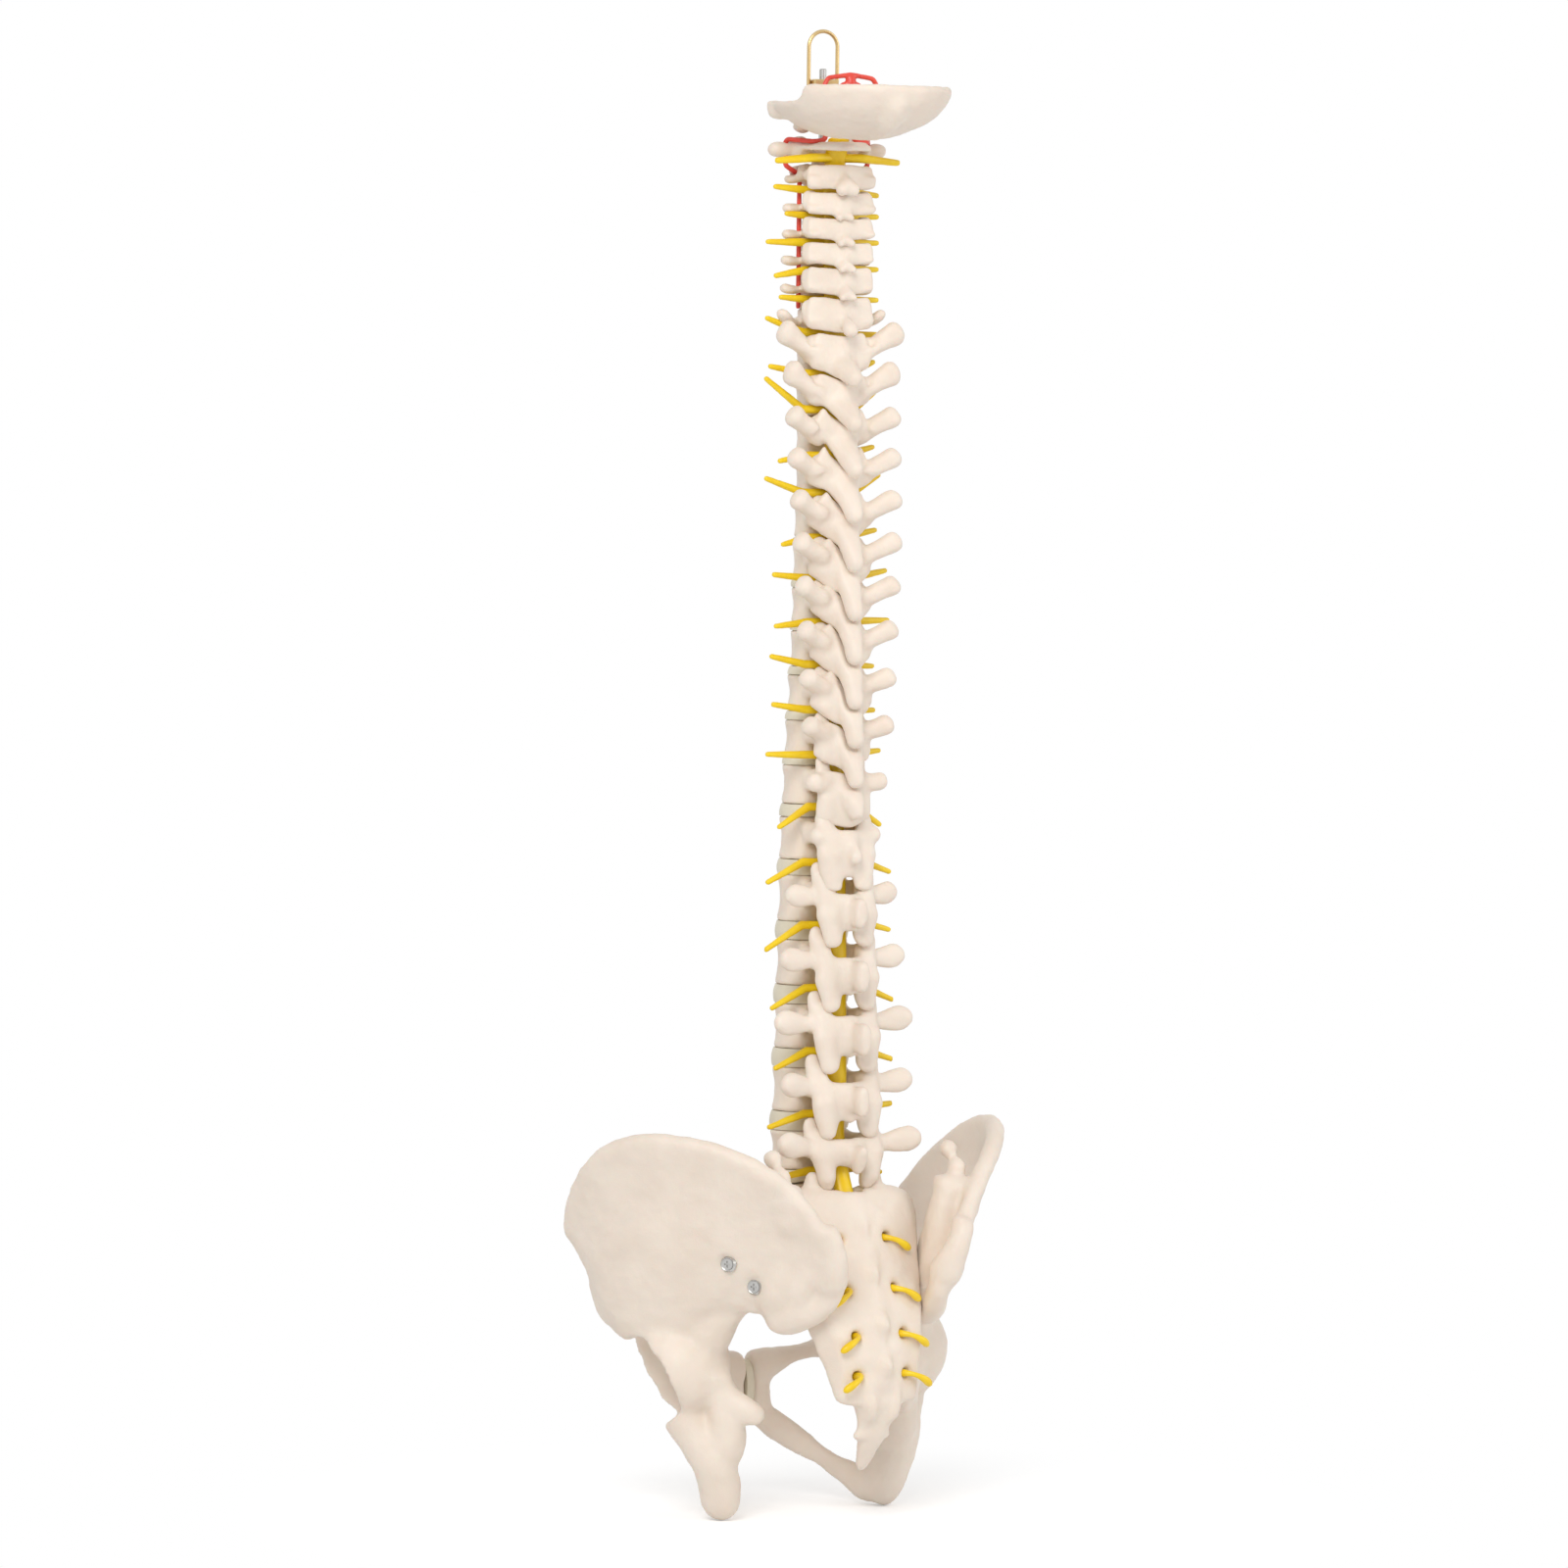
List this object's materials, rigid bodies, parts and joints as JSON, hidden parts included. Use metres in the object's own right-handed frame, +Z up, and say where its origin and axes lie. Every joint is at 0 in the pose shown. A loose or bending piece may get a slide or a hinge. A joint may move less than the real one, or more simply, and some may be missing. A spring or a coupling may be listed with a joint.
{
  "type": "spine anatomy model",
  "caption": "Hanging anatomy model of a spine: vertebrae with discs, nerves and arteries on a core, skull base, sacrum and pelvis, with a wire hanging loop.",
  "frame": {"origin": "where a hook bears, at the inner top of the hanging loop, on the line of the rod", "axes": "+Z up along the rod, +Y to the front of the body, +X to the body's right"},
  "size_m": [0.2678, 0.1747, 0.8423],
  "materials": {
    "bone": "matte cast",
    "disc": "satin soft plastic",
    "nerve": "satin soft plastic",
    "artery": "painted gloss",
    "core": "plain",
    "brass": "drawn",
    "steel": "zinc plated"
  },
  "bodies": {
    "root": {"axis_c2": "bone", "disc_c2_c3": "disc", "vertebra_c3": "bone", "disc_c3_c4": "disc", "vertebra_c4": "bone", "disc_c4_c5": "disc", "vertebra_c5": "bone", "disc_c5_c6": "disc", "vertebra_c6": "bone", "disc_c6_c7": "disc", "vertebra_c7": "bone", "disc_c7_t1": "disc", "vertebra_t1": "bone", "disc_t1_t2": "disc", "vertebra_t2": "bone", "disc_t2_t3": "disc", "vertebra_t3": "bone", "disc_t3_t4": "disc", "vertebra_t4": "bone", "disc_t4_t5": "disc", "vertebra_t5": "bone", "disc_t5_t6": "disc", "vertebra_t6": "bone", "disc_t6_t7": "disc", "vertebra_t7": "bone", "disc_t7_t8": "disc", "vertebra_t8": "bone", "disc_t8_t9": "disc", "vertebra_t9": "bone", "disc_t9_t10": "disc", "vertebra_t10": "bone", "disc_t10_t11": "disc", "vertebra_t11": "bone", "disc_t11_t12": "disc", "vertebra_t12": "bone", "disc_t12_l1": "disc", "vertebra_l1": "bone", "disc_l1_l2": "disc", "vertebra_l2": "bone", "disc_l2_l3": "disc", "vertebra_l3": "bone", "disc_l3_l4": "disc", "vertebra_l4": "bone", "disc_l4_l5": "disc", "vertebra_l5": "bone", "disc_l5_s1": "disc", "atlas_c1": "bone", "occipital_plate": "bone", "sacrum": "bone", "left_hip_bone": "bone", "right_hip_bone": "bone", "pubic_symphysis": "disc", "spinal_cord": "nerve", "spinal_nerves": "nerve", "vertebral_arteries": "artery", "core_rod": "core", "hanger_loop": "brass", "hanger_block": "brass", "rod_nuts": "steel", "hip_screws": "steel"}
  },
  "joints": []
}
